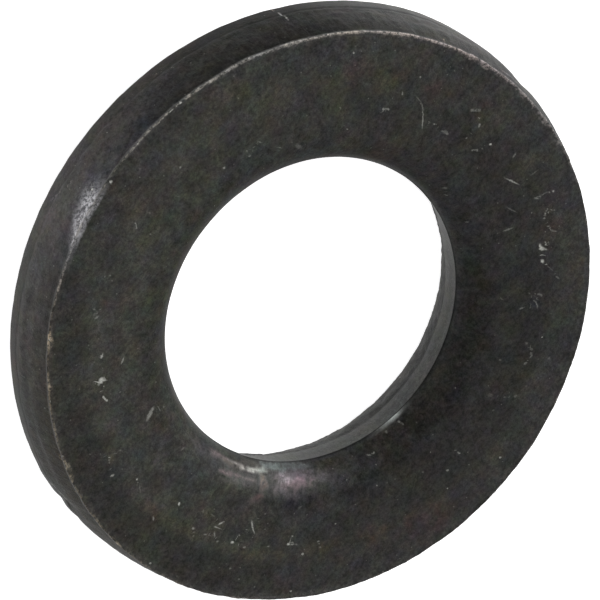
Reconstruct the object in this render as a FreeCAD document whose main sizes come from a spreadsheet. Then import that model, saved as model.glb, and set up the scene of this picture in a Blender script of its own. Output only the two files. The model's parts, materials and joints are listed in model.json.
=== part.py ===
"""Flat washer, heavy structural pattern for an M12 (1/2 in) bolt. Units: millimetres.

One piece of steel, blanked and pierced in one stroke of a progressive die and left
as stamped. It has no joint and no second piece.

Frame: the washer lies flat, +Z up along the bore's axis, origin at the centre of the
underside. The upper face (z = thickness) is the side the blank parted from the strip:
its rim ends in the sharp edge of the fracture and its bore is drawn in by the piercing
punch. The underside is the other way round: rolled rim, broken-out bore.

Going up the rim from the underside:   roll-over, sheared land, fracture taper.
Going down the bore from the upper face: roll-over, sheared land, fracture taper.
"""

import FreeCAD, Part
import math
import os
import Sketcher

DOC = FreeCAD.newDocument("flat_washer")

# ----------------------------------------------------------------- dimensions
DIMENSIONS = [
    # alias, value, what it is
    ("thickness", 4.0, "underside to upper face"),
    ("outer_diameter", 27.0, "over the sheared land of the rim"),
    ("face_diameter", 26.13, "upper face, at the broken edge of the rim"),
    ("rim_roll_width", 1.55, "radial width of the roll-over round the underside"),
    ("rim_roll_height", 1.04, "height of the roll-over round the underside"),
    ("rim_land", 0.76, "height of the sheared land of the rim"),
    ("bore_diameter", 14.1, "across the sheared land of the bore"),
    ("bore_roll_width", 1.70, "radial width of the drawn-in lip of the bore"),
    ("bore_roll_depth", 1.14, "depth of the drawn-in lip of the bore"),
    ("bore_land", 1.16, "height of the sheared land of the bore"),
    ("breakout_diameter", 15.68, "bore at the underside, after the fracture taper"),
]

sheet = DOC.addObject("Spreadsheet::Sheet", "Dims")
for row, (alias, value, note) in enumerate(DIMENSIONS, start=1):
    sheet.set("A%d" % row, note)
    sheet.set("B%d" % row, repr(float(value)))
    sheet.setAlias("B%d" % row, alias)
DOC.recompute()
V = {alias: float(sheet.get(alias)) for alias, _, _ in DIMENSIONS}

# ------------------------------------------------------------------ the washer
body = DOC.addObject("PartDesign::Body", "flat_washer")
body.Label = "flat_washer"


def origin_feature(owner, role):
    for feature in owner.Origin.OriginFeatures:
        if feature.Role == role:
            return feature
    raise RuntimeError("no origin feature " + role)


section = body.newObject("Sketcher::SketchObject", "Section")
section.AttachmentSupport = [(origin_feature(body, "XZ_Plane"), "")]
section.MapMode = "FlatFace"
DOC.recompute()

# Corner points of the section, in the order round it (x is radius, y is height).
r_out = V["outer_diameter"] / 2
r_face = V["face_diameter"] / 2
r_bore = V["bore_diameter"] / 2
r_break = V["breakout_diameter"] / 2
top = V["thickness"]
P = [
    (r_break, 0.0),
    (r_out - V["rim_roll_width"], 0.0),
    (r_out, V["rim_roll_height"]),
    (r_out, V["rim_roll_height"] + V["rim_land"]),
    (r_face, top),
    (r_bore + V["bore_roll_width"], top),
    (r_bore, top - V["bore_roll_depth"]),
    (r_bore, top - V["bore_roll_depth"] - V["bore_land"]),
]


def vec(p):
    return FreeCAD.Vector(p[0], p[1], 0)


def roll_radius(width, depth):
    """Radius of an arc that leaves a face tangentially and has dropped `depth` after `width`."""
    return (width * width + depth * depth) / (2 * depth)


def roll_arc(start, end, centre):
    """Arc of the given centre from start to end, anticlockwise, as a sketch curve."""
    a0 = math.atan2(start[1] - centre[1], start[0] - centre[0])
    a1 = math.atan2(end[1] - centre[1], end[0] - centre[0])
    radius = math.hypot(start[0] - centre[0], start[1] - centre[1])
    while a1 < a0:
        a1 += 2 * math.pi
    circle = Part.Circle(vec(centre), FreeCAD.Vector(0, 0, 1), radius)
    return Part.ArcOfCircle(circle, a0, a1)


rho_rim = roll_radius(V["rim_roll_width"], V["rim_roll_height"])
rho_bore = roll_radius(V["bore_roll_width"], V["bore_roll_depth"])

underside = section.addGeometry(Part.LineSegment(vec(P[0]), vec(P[1])), False)
rim_roll = section.addGeometry(roll_arc(P[1], P[2], (P[1][0], rho_rim)), False)
rim_land = section.addGeometry(Part.LineSegment(vec(P[2]), vec(P[3])), False)
rim_break = section.addGeometry(Part.LineSegment(vec(P[3]), vec(P[4])), False)
face = section.addGeometry(Part.LineSegment(vec(P[4]), vec(P[5])), False)
bore_roll = section.addGeometry(roll_arc(P[5], P[6], (P[5][0], top - rho_bore)), False)
bore_land = section.addGeometry(Part.LineSegment(vec(P[6]), vec(P[7])), False)
bore_break = section.addGeometry(Part.LineSegment(vec(P[7]), vec(P[0])), False)

C = Sketcher.Constraint
# The two arcs run anticlockwise, so both start on the flat face they leave.
section.addConstraint(C("Tangent", underside, 2, rim_roll, 1))
section.addConstraint(C("Coincident", rim_roll, 2, rim_land, 1))
section.addConstraint(C("Coincident", rim_land, 2, rim_break, 1))
section.addConstraint(C("Coincident", rim_break, 2, face, 1))
section.addConstraint(C("Tangent", face, 2, bore_roll, 1))
section.addConstraint(C("Coincident", bore_roll, 2, bore_land, 1))
section.addConstraint(C("Coincident", bore_land, 2, bore_break, 1))
section.addConstraint(C("Coincident", bore_break, 2, underside, 1))
section.addConstraint(C("Horizontal", underside))
section.addConstraint(C("Horizontal", face))
section.addConstraint(C("Vertical", rim_land))
section.addConstraint(C("Vertical", bore_land))
section.addConstraint(C("PointOnObject", underside, 1, -1))


def bound(constraint, expression):
    index = section.addConstraint(constraint)
    section.setExpression("Constraints[%d]" % index, expression)


AXIS = -1  # the sketch's own origin point is vertex 1 of its horizontal axis
bound(C("DistanceX", AXIS, 1, rim_land, 1, r_out), "Dims.outer_diameter / 2")
bound(C("DistanceX", AXIS, 1, bore_land, 1, r_bore), "Dims.bore_diameter / 2")
bound(C("DistanceX", AXIS, 1, face, 1, r_face), "Dims.face_diameter / 2")
bound(C("DistanceX", AXIS, 1, underside, 1, r_break), "Dims.breakout_diameter / 2")
bound(C("DistanceY", AXIS, 1, face, 1, top), "Dims.thickness")
bound(
    C("DistanceX", rim_roll, 1, rim_roll, 2, V["rim_roll_width"]),
    "Dims.rim_roll_width",
)
bound(
    C("DistanceY", rim_roll, 1, rim_roll, 2, V["rim_roll_height"]),
    "Dims.rim_roll_height",
)
bound(C("DistanceY", rim_land, 1, rim_land, 2, V["rim_land"]), "Dims.rim_land")
bound(
    C("DistanceX", bore_roll, 2, bore_roll, 1, V["bore_roll_width"]),
    "Dims.bore_roll_width",
)
bound(
    C("DistanceY", bore_roll, 2, bore_roll, 1, V["bore_roll_depth"]),
    "Dims.bore_roll_depth",
)
bound(C("DistanceY", bore_land, 2, bore_land, 1, V["bore_land"]), "Dims.bore_land")
DOC.recompute()

free = section.solve()
if free != 0:
    raise RuntimeError("the section does not solve: %d" % free)
loose = len(section.getOpenVertices()) if hasattr(section, "getOpenVertices") else 0
if loose:
    raise RuntimeError("the section is open at %d points" % loose)

ring = body.newObject("PartDesign::Revolution", "Ring")
ring.Profile = section
ring.ReferenceAxis = (section, ["V_Axis"])
ring.Angle = 360
body.Tip = ring
DOC.recompute()

# --------------------------------------------------------------------- checks
for obj in DOC.Objects:
    bad = [s for s in obj.State if s in ("Invalid", "Error")]
    if bad:
        raise RuntimeError("%s is %s" % (obj.Name, bad))

shape = body.Shape
if shape.isNull() or not shape.isValid() or len(shape.Solids) != 1:
    raise RuntimeError("the washer is not one valid solid")
box = shape.optimalBoundingBox()
for name, got, want in (
    ("outer diameter X", box.XLength, V["outer_diameter"]),
    ("outer diameter Y", box.YLength, V["outer_diameter"]),
    ("thickness", box.ZLength, V["thickness"]),
    ("underside height", box.ZMin, 0.0),
):
    if abs(got - want) > 1e-4:
        raise RuntimeError("%s is %.5f, wanted %.5f" % (name, got, want))
land = [
    f
    for f in shape.Faces
    if isinstance(f.Surface, Part.Cylinder)
    and abs(f.Surface.Radius - V["bore_diameter"] / 2) < 1e-6
]
if len(land) == 0:
    raise RuntimeError("the bore has no sheared land")
print("volume mm3 %.2f, faces %d" % (shape.Volume, len(shape.Faces)))
print("bore land z %.3f to %.3f" % (land[0].BoundBox.ZMin, land[0].BoundBox.ZMax))
print("roll-over radii: rim %.3f, bore %.3f" % (rho_rim, rho_bore))

# --------------------------------------------------------------------- output
os.makedirs("parts", exist_ok=True)
shape.exportStep("parts/%s.step" % body.Label)
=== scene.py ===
import json
import math

import bpy
import numpy as np
from mathutils import Matrix, Vector


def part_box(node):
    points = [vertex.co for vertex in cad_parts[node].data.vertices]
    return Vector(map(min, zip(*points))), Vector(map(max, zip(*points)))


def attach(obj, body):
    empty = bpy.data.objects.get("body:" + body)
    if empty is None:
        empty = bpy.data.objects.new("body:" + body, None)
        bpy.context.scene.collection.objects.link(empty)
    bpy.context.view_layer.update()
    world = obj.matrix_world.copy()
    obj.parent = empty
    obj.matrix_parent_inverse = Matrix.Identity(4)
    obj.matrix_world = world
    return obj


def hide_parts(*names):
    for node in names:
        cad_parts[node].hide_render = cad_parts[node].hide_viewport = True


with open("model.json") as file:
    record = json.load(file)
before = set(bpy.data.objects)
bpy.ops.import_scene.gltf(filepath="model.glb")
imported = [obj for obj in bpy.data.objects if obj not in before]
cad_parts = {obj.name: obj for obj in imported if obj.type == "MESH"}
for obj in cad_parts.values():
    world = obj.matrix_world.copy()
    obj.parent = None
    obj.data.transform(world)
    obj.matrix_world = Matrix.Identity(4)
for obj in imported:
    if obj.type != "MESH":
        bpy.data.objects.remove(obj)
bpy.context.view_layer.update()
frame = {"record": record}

# --------------------------------------------------------------------------
# Sizes, in millimetres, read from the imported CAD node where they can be.
# --------------------------------------------------------------------------
NODE = "flat_washer"
LO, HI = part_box(NODE)
R_OUT = (HI.x - LO.x) / 2 * 1000.0          # sheared land of the rim
TOP = (HI.z - LO.z) * 1000.0                # thickness
R_BORE = [m for m in frame["record"]["mounts"] if m["name"] == "bore"][0]["dims"]["r_mm"]
R_FACE = 13.065                             # upper face, at the broken rim edge
R_BREAK = 7.84                              # bore at the underside
H_ROLL, W_ROLL = 1.04, 1.55                 # roll-over of the rim, underside
D_LIP, W_LIP = 1.14, 1.70                   # drawn-in lip of the bore, upper side
Z_CREASE = 1.80                             # where the rim's land ends and it tore
Z_TEAR = TOP - D_LIP - 1.16                 # the same on the bore's wall


# --------------------------------------------------------------------------
# Seeded gradient noise, so every run gives the same mesh.
# --------------------------------------------------------------------------
def _tables(seed):
    rng = np.random.RandomState(seed)
    perm = rng.permutation(256)
    perm = np.concatenate([perm, perm, perm])
    g = rng.normal(size=(256, 3))
    g /= np.linalg.norm(g, axis=1)[:, None]
    return perm, g


def noise3(p, seed=0):
    perm, g = _tables(seed)
    i = np.floor(p).astype(int)
    f = p - i
    u = f * f * f * (f * (f * 6 - 15) + 10)
    i &= 255
    out = 0.0
    for dx in (0, 1):
        wx = u[..., 0] if dx else 1 - u[..., 0]
        for dy in (0, 1):
            wy = u[..., 1] if dy else 1 - u[..., 1]
            for dz in (0, 1):
                wz = u[..., 2] if dz else 1 - u[..., 2]
                h = perm[perm[perm[i[..., 0] + dx] + ((i[..., 1] + dy) & 255)] + ((i[..., 2] + dz) & 255)]
                d = f - np.array([dx, dy, dz])
                out = out + wx * wy * wz * (g[h] * d).sum(-1)
    return out * 1.5


def fbm(p, octaves=4, seed=0, gain=0.5):
    total, amp = 0.0, 1.0
    for k in range(octaves):
        total = total + amp * noise3(p * (2.0 ** k) + 17.3 * k, seed + k)
        amp *= gain
    return total


def smooth(a, b, x):
    t = np.clip((x - a) / (b - a), 0, 1)
    return t * t * (3 - 2 * t)


def bump1(x, c, w):
    return np.exp(-((x - c) / w) ** 2)


# --------------------------------------------------------------------------
# The washer as a closed ring of sections. PSI runs round it: 0 at +Y, 90 at +X.
# --------------------------------------------------------------------------
N_SEG = 920
psi = np.arange(N_SEG) / N_SEG * 2 * math.pi
deg = np.degrees(psi)


def ring(freq, seed, octaves=3, gain=0.5, radius=13.0):
    """A noise that closes on itself round the washer; freq is features per mm."""
    p = np.stack([np.cos(psi) * radius * freq, np.sin(psi) * radius * freq, np.full(N_SEG, 3.7 + seed)], -1)
    return fbm(p, octaves, seed, gain)


def arcwise(*pairs):
    """Smooth periodic curve through (degree, value) pairs."""
    pairs = sorted(pairs)
    a = np.array([p[0] for p in pairs], float)
    v = np.array([p[1] for p in pairs], float)
    return np.interp(deg, np.r_[a[-1] - 360, a, a[0] + 360], np.r_[v[-1], v, v[0]])


def soften(y, n):
    k = np.hanning(n + 2)[1:-1]
    k /= k.sum()
    return np.convolve(np.r_[y[-n:], y, y[:n]], k, "same")[n:-n]


crease = soften(
    arcwise((0, 1.95), (60, 1.80), (110, 1.62), (135, 1.70), (165, 1.75), (200, 1.80), (235, 1.84),
            (250, 2.05), (262, 2.45), (275, 2.75), (295, 2.55), (330, 2.15)), 41)
crease = crease + 0.10 * ring(0.35, 5) + 0.05 * ring(1.4, 6)
w_roll = W_ROLL * (1 + 0.05 * ring(0.12, 7) + 0.03 * ring(0.5, 8))
h_roll = H_ROLL * (1 + 0.05 * ring(0.15, 9) + 0.03 * ring(0.7, 10))
def angd(c):
    return np.abs((deg - c + 180) % 360 - 180)


def near0(c, width):
    return np.exp(-(angd(c) / width) ** 2)


r_out = R_OUT - 0.012 + 0.010 * np.clip(ring(0.15, 11), -1, 1) - 0.075 * bump1(angd(275.4), 0, 2.6) + 0.050 * bump1(angd(252), 0, 11.0) + 0.020 * bump1(angd(283), 0, 5.0)
r_out = r_out + 0.010 * ring(1.6, 23) - 0.040 * near0(186, 32) + 0.030 * near0(109, 5) - 0.062 * near0(103.0, 1.6) - 0.045 * near0(97.8, 1.3) + 0.042 * near0(80, 8) + 0.038 * near0(266, 6)
r_face = R_FACE + 0.020 * ring(0.25, 12) + 0.018 * ring(1.1, 13) + 0.010 * ring(3.6, 19)
r_face = r_face + soften(arcwise((0, 0.048), (60, 0.058), (78, 0.088), (92, 0.092), (104, 0.050), (122, 0.005), (130, 0.0), (260, 0.0), (282, 0.010), (300, 0.045)), 25)
r_face = r_face + 0.045 * bump1(angd(210), 0, 3.0) - 0.020 * bump1(angd(202.5), 0, 2.0) + 0.055 * near0(165.5, 4.5)
r_face = r_face + 0.018 * np.clip(np.abs(ring(3.2, 24)) - 0.2, 0, 1) * (near0(60, 38) + 0.2) + 0.022 * near0(76, 6)
r_break = R_BREAK + 0.030 * ring(0.3, 14) + 0.012 * ring(1.3, 15) - 0.055 * near0(8, 11) + 0.115 * near0(56.5, 4.5) + 0.085 * near0(305, 5)
# the land of the bore is uneven: the punch was a little off centre, so it tore sooner on one half
tear = TOP - soften(arcwise((0, 2.15), (46, 2.16), (57, 2.06), (66, 1.74), (73, 1.34), (82, 1.27), (276, 1.27), (283, 1.32),
                            (289, 1.56), (295, 1.95), (303, 2.16), (345, 2.15)), 15)
tear = tear + (0.05 * ring(0.4, 16, radius=7) + 0.035 * ring(1.8, 17, radius=7)) * smooth(1.3, 1.6, TOP - tear)
d_lip = D_LIP * (1 + 0.02 * ring(0.2, 18, radius=7))

ZONES = {}
rows_r, rows_z, rows_tag = [], [], []


def add(tag, r, z):
    rows_r.append(np.broadcast_to(r, (N_SEG,)).astype(float).copy())
    rows_z.append(np.broadcast_to(z, (N_SEG,)).astype(float).copy())
    rows_tag.append(tag)


# underside ring
for t in np.linspace(0, 1, 9):
    r0, r1 = r_break + 0.03, R_OUT - w_roll
    add("under", r0 + (r1 - r0) * t, 0.0)
# roll-over of the rim: an arc that leaves the underside flat and meets the land at a soft corner
rho = (w_roll ** 2 + h_roll ** 2) / (2 * h_roll)
a_end = np.arcsin(np.clip(w_roll / rho, -1, 1))
for t in np.linspace(0, 1, 12)[1:]:
    a = a_end * (t ** 0.9)
    add("rimroll", (R_OUT - w_roll) + rho * np.sin(a) + (r_out - R_OUT) * t, rho * (1 - np.cos(a)))
# sheared land of the rim
for t in (0.06, 0.3, 0.55, 0.8, 0.93):
    add("rimland", r_out + 0.010 * math.sin(math.pi * t), h_roll + (crease - 0.05 - h_roll) * t)
# crease where the shear turned into tearing
step = soften(arcwise((100, 0.5), (130, 0.3), (200, 0.2), (230, 0.45), (242, 1.0), (262, 1.0), (276, 0.5), (330, 0.6), (60, 0.6)), 31)
add("crease", r_out - 0.030 * step, crease - 0.02)
add("crease", r_out - 0.012 - 0.038 * step, crease + 0.03)
# torn zone up to the sharp edge
z_end = TOP - 0.17
n_torn = 16
for k in range(n_torn):
    t = k / (n_torn - 1)
    z = (crease + 0.10) + (z_end - crease - 0.10) * t
    s = (z - crease) / (TOP - crease)
    r = r_out - 0.012 - (r_out - r_face) * (0.55 * s + 0.45 * s ** 2.2)
    add("torn", r, z)
# burr: a small raised lip, ragged and mashed flat by handling
burr = 0.030 + 0.024 * ring(0.6, 21) + 0.022 * ring(2.6, 22)
burr = np.clip(burr, 0.0, 0.075)
add("burr", r_face + 0.020, TOP - 0.090)
add("burr", r_face + 0.012 + 0.4 * burr, TOP - 0.045 + 0.2 * burr)
add("burr", r_face - 0.010 + 0.4 * burr, TOP - 0.020 + 0.62 * burr)
add("burr", r_face - 0.060, TOP - 0.028 + 0.60 * burr)
add("burr", r_face - 0.115, TOP - 0.040 + 0.18 * burr)
add("burr", r_face - 0.190, TOP - 0.045)
# upper face: very slightly crowned, highest on the ring the handling marks sit on
R_HIGH, R_LIP = 10.70, R_BORE + W_LIP


def crown(r):
    return np.where(r > R_HIGH, -0.045 * ((r - R_HIGH) / 2.35) ** 2, -0.075 * (np.clip(R_HIGH - r, 0, 2.2) / 1.95) ** 2.2)


face_r = np.linspace(R_FACE - 0.30, R_LIP, 29)
for rr in face_r:
    add("face", rr, TOP + crown(np.array(rr)))
# drawn-in lip of the bore
rho_l = (W_LIP ** 2 + d_lip ** 2) / (2 * d_lip)
l_end = np.arcsin(np.clip(W_LIP / rho_l, -1, 1))
pull = 0.012 * near0(140, 42)
for t in np.linspace(0, 1, 16)[1:]:
    a = l_end * (t ** 0.85)
    rr = R_LIP - rho_l * np.sin(a) - pull * t
    fade = 1 - smooth(0.3, 1.0, np.array(t))
    add("lip", rr, TOP - rho_l * (1 - np.cos(a)) + crown(np.array(R_LIP)) * fade)
# sheared land of the bore
for t in (0.035, 0.085, 0.50, 0.97):
    add("boreland", R_BORE - 0.004 - pull, TOP - d_lip + (tear - TOP + d_lip) * t)
# break-out down to the underside
for k in range(11):
    t = (k + 0.4) / 10.6
    r = R_BORE + 0.02 + (r_break - R_BORE - 0.02) * (0.76 * t + 0.24 * t ** 2)
    add("boretorn", r, tear * (1 - t) + 0.0)

RR, ZZ = np.array(rows_r), np.array(rows_z)
TAG = np.array(rows_tag)
N_ROW = len(TAG)
off = 0.024 * (1 - smooth(7.9, 8.9, RR))          # the pierced hole sits a hair off centre
X = RR * np.sin(psi)[None, :] + off
Y = RR * np.cos(psi)[None, :] + off
P = np.stack([X, Y, ZZ], -1)


def normals(P):
    du = np.roll(P, -1, 1) - np.roll(P, 1, 1)
    dv = np.roll(P, -1, 0) - np.roll(P, 1, 0)
    n = np.cross(dv, du)
    return n / (np.linalg.norm(n, axis=-1)[..., None] + 1e-12)


NRM = normals(P)
# outward: the normal of the upper face has to point up
if NRM[np.where(TAG == "face")[0][10], 0, 2] < 0:
    NRM = -NRM


def mask(*tags):
    return np.isin(TAG, tags).astype(float)[:, None] * np.ones(N_SEG)[None, :]


def row_soft(m, passes=1):
    for _ in range(passes):
        m = 0.25 * np.roll(m, 1, 0) + 0.5 * m + 0.25 * np.roll(m, -1, 0)
    return m


ANG = np.broadcast_to(deg[None, :], RR.shape)
TORN = row_soft(mask("torn", "boretorn"), 1)
LAND = row_soft(mask("rimland", "boreland"), 1)
ROLL = mask("rimroll", "lip")
FACE = mask("face", "under")

# stretched coordinates: fine across the tear, long down it
arc = np.stack([np.cos(psi)[None, :] * RR, np.sin(psi)[None, :] * RR], -1)
q_tear = np.concatenate([arc * 2.6, ZZ[..., None] * 0.9], -1)
q_pit = np.concatenate([arc * 3.4, ZZ[..., None] * 3.4], -1)
q_wave = np.concatenate([arc * 0.35, ZZ[..., None] * 0.5], -1)
q_fine = np.concatenate([arc * 1.1, ZZ[..., None] * 1.1], -1)

disp = np.zeros_like(RR)
calm = 0.35 + 0.65 * smooth(8, 26, np.abs((ANG - 276 + 180) % 360 - 180))
calm = calm * (1 - 0.66 * np.exp(-(((ANG - 124) / 34.0) ** 2)))
disp += TORN * calm * (0.024 * fbm(q_tear, 3, 31) + 0.024 * (np.abs(fbm(q_pit, 3, 37)) - 0.25) + 0.028 * fbm(q_fine, 2, 43))
disp += LAND * (0.004 * noise3(q_tear, 51) - 0.003)
disp += ROLL * (0.006 * fbm(q_fine, 3, 55))
disp += FACE * (0.003 * fbm(q_fine * 0.8, 3, 61))
disp += 0.004 * noise3(q_wave, 67)

# ledges and slivers where the tear jumped, on the rim
for c, w, z0, hgt, amp in ((276, 9, 2.2, 0.45, 0.02), (251, 12, 2.9, 0.5, 0.03), (236, 10, 2.4, 0.35, 0.03),
                           (142, 14, 2.3, 0.4, -0.035), (118, 8, 2.6, 0.5, 0.03), (172, 9, 3.2, 0.5, -0.04),
                           (40, 12, 2.5, 0.4, 0.04), (330, 14, 2.9, 0.5, 0.035), (5, 10, 2.2, 0.4, -0.03)):
    d = np.abs((ANG - c + 180) % 360 - 180)
    disp += mask("torn") * amp * bump1(d, 0, w) * np.tanh((ZZ - z0) / 0.12) * bump1(ZZ, z0, hgt)

# nicks and dents: (x, y, z, radius, depth) in mm
DENTS = [
    (11.30, -7.30, 0.55, 0.16, 0.07), (11.95, -6.05, 0.60, 0.18, 0.06), (12.9, 3.1, 1.2, 0.22, 0.05),
    (-12.95, -2.65, 3.95, 0.16, 0.05), (-9.8, -8.9, 3.96, 0.12, 0.04), (2.9, -12.7, 3.95, 0.22, 0.07),
    (0.95, -12.95, 3.95, 0.16, 0.06), (12.2, -4.3, 3.98, 0.14, 0.05), (11.4, -6.4, 3.97, 0.15, 0.05),
    (7.90, -7.16, 4.0, 0.17, 0.030), (8.39, -6.39, 4.0, 0.10, 0.020), (7.70, -4.02, 3.98, 0.16, 0.025),
    (10.11, 0.06, 4.0, 0.13, 0.025), (10.05, 3.43, 4.0, 0.12, 0.020), (-11.15, -0.5, 4.0, 0.13, 0.020),
    (-9.80, 3.30, 4.0, 0.16, 0.020), (5.2, 8.9, 4.0, 0.18, 0.025), (-4.4, 9.7, 4.0, 0.16, 0.02),
    (6.2, -11.9, 0.45, 0.2, 0.05), (-6.2, -11.6, 0.7, 0.2, 0.05), (-12.4, 4.7, 1.0, 0.25, 0.05),
    (3.5, 12.9, 1.3, 0.25, 0.05), (13.14, -3.03, 1.8, 0.34, 0.075), (-8.5, 10.2, 0.8, 0.22, 0.05), (9.2, 9.5, 1.4, 0.22, 0.05),
]
for x, y, z, rad, dep in DENTS:
    d2 = (P[..., 0] - x) ** 2 + (P[..., 1] - y) ** 2 + (P[..., 2] - z) ** 2
    disp -= dep * np.exp(-d2 / rad ** 2) * (1 - 0.25 * np.exp(-((np.sqrt(d2) - 1.3 * rad) / (0.4 * rad)) ** 2))

P2 = P + NRM * disp[..., None]
# keep inside the CAD solid's box
P2[..., 2] = np.clip(P2[..., 2], 0.0, TOP)
rad2 = np.hypot(P2[..., 0], P2[..., 1])
k = np.minimum(1.0, (R_OUT + 0.05) / np.maximum(rad2, 1e-6))
P2[..., 0] *= k
P2[..., 1] *= k
P2[TAG == "under", :, 2] = np.maximum(P2[TAG == "under", :, 2], 0.0)


# --------------------------------------------------------------------------
# Vertex attributes: where the oxide is worn, torn, sheared, heat-tinted.
# --------------------------------------------------------------------------
def near(c, width):
    return np.exp(-(angd(c) / width) ** 2)


def cosd(c):
    return np.cos(np.radians(ANG - c))


# wear along the sharp upper edge, strongest where it has been rubbed
edge_wear = soften(arcwise(
    (0, 0.26), (30, 0.26), (60, 0.30), (85, 0.34), (93, 0.46), (104, 0.46), (118, 0.45), (135, 0.42), (143, 0.50), (147, 0.34), (152, 0.50),
    (156, 0.70), (160, 0.98), (165, 0.86), (168, 0.50), (172, 0.40), (177, 0.34), (181, 0.50), (186, 0.60), (193, 0.70),
    (203, 0.64), (213, 0.56), (222, 0.56), (231, 0.72), (243, 0.84), (256, 0.80), (268, 0.64), (280, 0.52), (292, 0.42),
    (302, 0.32), (330, 0.24)), 15)
edge_wear = edge_wear * (0.88 + 0.55 * ring(1.3, 71, 2, 0.7))
spots = np.zeros(N_SEG)
for c, w, a in ((233, 0.7, 0.5), (242, 0.8, 0.5), (202, 0.6, 0.6), (195, 0.5, 0.5), (183, 0.6, 0.6), (143, 0.9, 0.7), (142, 0.5, 0.3),
                (254, 0.6, 0.3), (211, 0.6, 0.3), (124.5, 0.5, 0.45), (122, 0.5, 0.25), (116, 0.5, 0.25), (113, 0.5, 0.25), (131.5, 0.5, 0.4),
                (221, 0.7, 0.3), (174.5, 0.5, 0.4), (184.5, 0.4, 0.6), (187.2, 0.35, 0.5), (189.6, 0.4, 0.6), (191.8, 0.3, 0.4), (197.4, 0.4, 0.5),
                (199.6, 0.35, 0.5), (150.5, 0.5, 0.4), (270, 0.5, 0.4), (277, 0.6, 0.3), (288, 0.5, 0.3)):
    spots += a * bump1(angd(c), 0, w)
edge_wear = np.clip(edge_wear + spots, 0, 1.3)

wear = np.zeros_like(RR)
burr_rows = np.where(TAG == "burr")[0]
broad = soften(arcwise((0, 0.4), (60, 0.4), (90, 0.35), (110, 0.22), (150, 0.12), (158, 0.5), (166, 0.5), (175, 0.15), (190, 0.20), (206, 0.6),
                       (214, 1.0), (222, 1.0), (232, 0.5), (244, 0.30), (256, 0.40), (268, 0.6), (292, 0.5), (310, 0.4)), 21) + 0.30 * ring(1.1, 73, 2, 0.6)
broad = np.clip(broad, 0.05, 1.2)
for row, fixed, var in zip(burr_rows, (0.0, 0.25, 1.20, 0.55, 0.0, 0.0), (0.16, 0.65, 0.08, 0.55, 0.38, 0.05)):
    wear[row] += (fixed + var * broad) * edge_wear

# the bore's crisp edge: faint rubbing all round, and a painted highlight laid on as bright worn metal over a short arc
lip_rows = np.where(TAG == "lip")[0]
lip_wear_and_highlight = 0.34 * near(14.0, 8.0) * (0.85 + 0.25 * ring(1.6, 91, 2, 0.6, 7.0)) + 0.08 * np.clip(ring(1.5, 92, 3, 0.6, 7.0), 0, 1)
for row, share in zip(lip_rows[-3:], (0.0, 0.30, 1.0)):
    wear[row] = np.maximum(wear[row], share * np.clip(lip_wear_and_highlight, 0, 1))

# corner of the rim's roll-over and land, lightly rubbed
corner_rows = np.where(TAG == "rimroll")[0][-2:]
corner = 0.10 + 0.22 * np.clip(ring(0.9, 95, 4, 0.7), -0.5, 1)
for row in corner_rows:
    wear[row] = np.maximum(wear[row], np.clip(corner, 0, 0.4))
# pale smears on the wall just under the edge
for c, w_, deep, amt in ((223, 6.5, 0.26, 0.36), (243, 5.0, 0.16, 0.30), (262, 6.5, 0.60, 0.40), (282, 9.0, 0.50, 0.26), (133, 2.5, 0.20, 0.30), (115, 2.0, 0.20, 0.35),
                         (143, 1.6, 0.22, 0.45), (205, 4.0, 0.14, 0.25)):
    smear = mask("torn", "burr") * np.exp(-(np.abs((ANG - c + 180) % 360 - 180) / w_) ** 2) * (1 - smooth(0.0, deep, TOP - ZZ))
    wear = wear + amt * smear * np.clip(0.8 + 1.2 * fbm(q_pit * 0.8, 2, 87, 0.6), 0, 1.6)
SCUFFS = [(221.8, 2.95, 222.7, 1.65, 0.055, 0.62), (133.5, 2.31, 133.0, 1.62, 0.05, 0.34), (166.0, 2.56, 168.9, 2.15, 0.05, 0.34),
          (164.2, 2.24, 167.3, 1.85, 0.06, 0.30), (216.6, 1.63, 216.6, 1.60, 0.05, 0.60), (217.0, 1.40, 217.0, 1.38, 0.045, 0.5),
          (108.4, 2.40, 104.3, 1.50, 0.09, 0.34), (104.3, 1.50, 101.5, 1.15, 0.07, 0.25), (252.6, -0.05, 253.2, 0.42, 0.04, 0.55),
          (170.2, 1.95, 172.3, 1.85, 0.05, 0.25), (144.0, 0.9, 143.0, 1.2, 0.05, 0.22), (196.0, 2.4, 199.5, 2.1, 0.05, 0.2),
          (268.0, 0.35, 274.0, 0.50, 0.07, 0.4), (150.8, 0.75, 150.6, 0.70, 0.05, 0.40), (236.0, 1.1, 238.5, 0.8, 0.05, 0.25)]
for a0, b0, a1, b1, wid, amt in SCUFFS:
    u_, v_ = np.radians((ANG - a0 + 180) % 360 - 180) * 13.4, (TOP - ZZ) - b0
    du_, dv_ = math.radians(a1 - a0) * 13.4, b1 - b0
    t_ = np.clip((u_ * du_ + v_ * dv_) / (du_ * du_ + dv_ * dv_), 0, 1)
    d_ = np.hypot(u_ - t_ * du_, v_ - t_ * dv_)
    wear = np.maximum(wear, (0.18 + 0.8 * amt) * np.exp(-(d_ / wid) ** 2) * mask("torn", "burr", "rimland", "crease"))
# brownish crumbs of bare metal beside the edge on the near side
wear = wear + 0.30 * mask("torn") * near(117, 22) * np.exp(-((TOP - ZZ) / 0.34) ** 2) * np.clip(0.55 + 1.5 * fbm(q_pit * 0.7, 2, 89, 0.6), 0, 1.6)
wear = np.clip(wear, 0, 1)
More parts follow.
